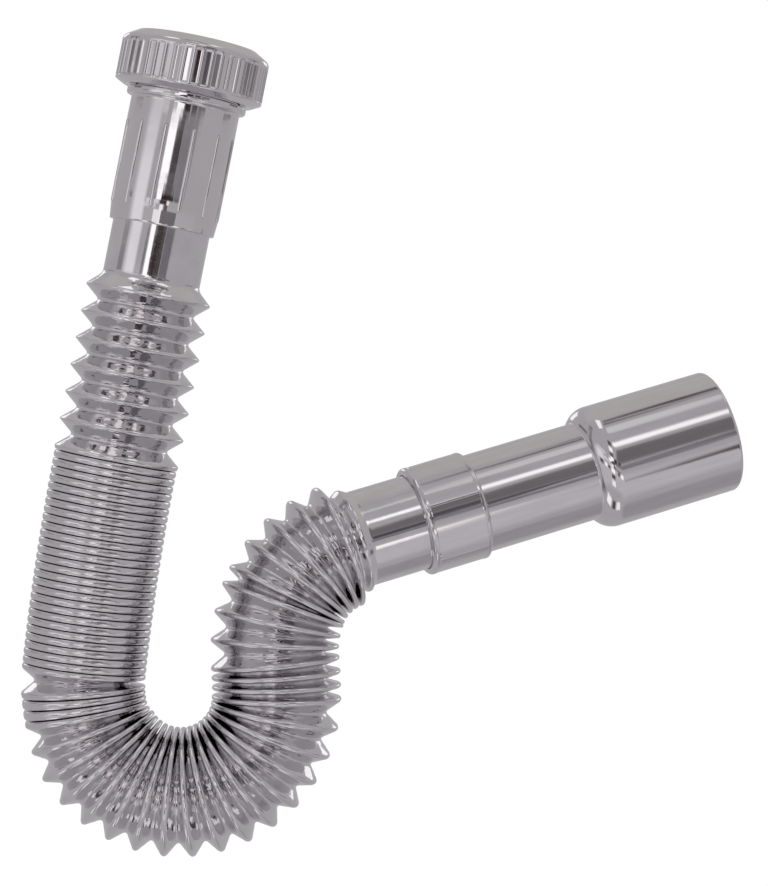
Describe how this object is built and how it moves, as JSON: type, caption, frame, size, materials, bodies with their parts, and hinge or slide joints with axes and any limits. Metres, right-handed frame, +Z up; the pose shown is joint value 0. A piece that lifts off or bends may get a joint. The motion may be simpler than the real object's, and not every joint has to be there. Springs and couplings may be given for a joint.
{
  "type": "flexible sink trap",
  "caption": "Chrome-plated flexible sink trap: screwed inlet nut, bellows hose bent to a water seal, stepped outlet spigot.",
  "frame": {"origin": "centre of the inlet nut's mouth, where the sink's threaded tail enters", "axes": "+Z up along the inlet axis, +X towards the outlet in the plane of the hose's bend, +Y to the rear"},
  "size_m": [0.2763, 0.0984, 0.3155],
  "materials": {
    "plated_bright": "bright chrome plate on moulded plastic",
    "plated_hose": "chrome plate on a thin blown hose",
    "plated_satin": "slightly satin chrome plate on moulded plastic",
    "washer_rubber": "matt black rubber"
  },
  "bodies": {
    "nut": {"coupling_nut": "plated_bright"},
    "inlet": {"inlet_sleeve": "plated_bright", "sealing_washer": "washer_rubber"},
    "bellows": {"bellows_hose": "plated_hose"},
    "outlet": {"outlet_spigot": "plated_satin"}
  },
  "joints": [
    {"name": "inlet_swivel", "type": "hinge", "parent": "nut", "child": "inlet", "pos_m": [0, 0, -0.0192], "axis": [0, 0, 1], "continuous": true},
    {"name": "bellows_extend", "type": "slide", "parent": "inlet", "child": "bellows", "axis": [0, 0, -1], "range_m": [0, 0.2], "deforming": ["bellows_hose"]},
    {"name": "outlet_swing", "type": "hinge", "parent": "bellows", "child": "outlet", "pos_m": [0.0684, 0, -0.1983], "axis": [0, -1, 0], "range_deg": [-10, 70], "deforming": ["bellows_hose"]}
  ]
}
